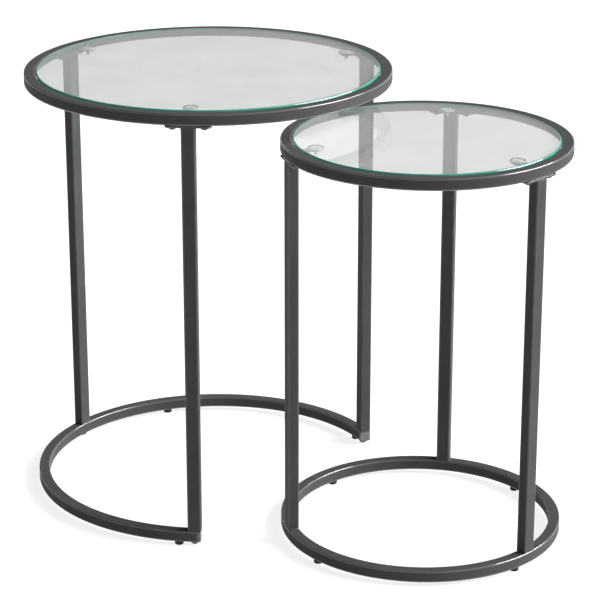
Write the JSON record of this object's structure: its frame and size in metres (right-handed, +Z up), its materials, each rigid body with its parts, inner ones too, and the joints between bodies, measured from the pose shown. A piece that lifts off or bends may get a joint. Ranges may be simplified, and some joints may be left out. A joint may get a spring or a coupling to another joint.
{
  "type": "nesting side tables",
  "caption": "Round nesting side tables with inset glass tops on slim square-tube frames; the small table slides into the open base of the large one.",
  "frame": {"origin": "on the floor, under the middle of the pair's bounding box as it stands", "axes": "+X along the slide, from the large table's centre to the small one's, out of the large table's open side; +Z up, out of the glass tops; +Y completes the frame"},
  "size_m": [0.7816, 0.4996, 0.6],
  "materials": {
    "powder_coat": "fine matt charcoal powder coat",
    "clear_glass": "clear tempered glass, polished, with green edges",
    "clear_silicone": "clear soft silicone",
    "black_bolt": "black oxide steel",
    "black_rubber": "matt black rubber"
  },
  "bodies": {
    "large_table": {"large_top_ring": "powder_coat", "large_base_ring": "powder_coat", "large_leg_1": "powder_coat", "large_leg_plate_1": "powder_coat", "large_tab_1": "powder_coat", "large_leg_2": "powder_coat", "large_leg_plate_2": "powder_coat", "large_tab_2": "powder_coat", "large_leg_3": "powder_coat", "large_leg_plate_3": "powder_coat", "large_tab_3": "powder_coat", "large_end_cap_1": "powder_coat", "large_end_cap_2": "powder_coat", "large_glass": "clear_glass", "large_pad_1": "clear_silicone", "large_pad_2": "clear_silicone", "large_pad_3": "clear_silicone", "large_plate_bolt_1": "black_bolt", "large_plate_bolt_2": "black_bolt", "large_plate_bolt_3": "black_bolt", "large_plate_bolt_4": "black_bolt", "large_plate_bolt_5": "black_bolt", "large_plate_bolt_6": "black_bolt", "large_base_bolt_1": "black_bolt", "large_base_bolt_2": "black_bolt", "large_base_bolt_3": "black_bolt", "large_foot_1": "black_rubber", "large_foot_2": "black_rubber", "large_foot_3": "black_rubber", "large_foot_4": "black_rubber"},
    "small_table": {"small_top_ring": "powder_coat", "small_base_ring": "powder_coat", "small_leg_1": "powder_coat", "small_leg_plate_1": "powder_coat", "small_tab_1": "powder_coat", "small_leg_2": "powder_coat", "small_leg_plate_2": "powder_coat", "small_tab_2": "powder_coat", "small_leg_3": "powder_coat", "small_leg_plate_3": "powder_coat", "small_tab_3": "powder_coat", "small_glass": "clear_glass", "small_pad_1": "clear_silicone", "small_pad_2": "clear_silicone", "small_pad_3": "clear_silicone", "small_plate_bolt_1": "black_bolt", "small_plate_bolt_2": "black_bolt", "small_plate_bolt_3": "black_bolt", "small_plate_bolt_4": "black_bolt", "small_plate_bolt_5": "black_bolt", "small_plate_bolt_6": "black_bolt", "small_foot_1": "black_rubber", "small_foot_2": "black_rubber", "small_foot_3": "black_rubber", "small_foot_4": "black_rubber"}
  },
  "joints": [
    {"name": "small_table_slide", "type": "slide", "parent": "large_table", "child": "small_table", "axis": [1, 0, 0], "range_m": [-0.38, 0.12]}
  ]
}
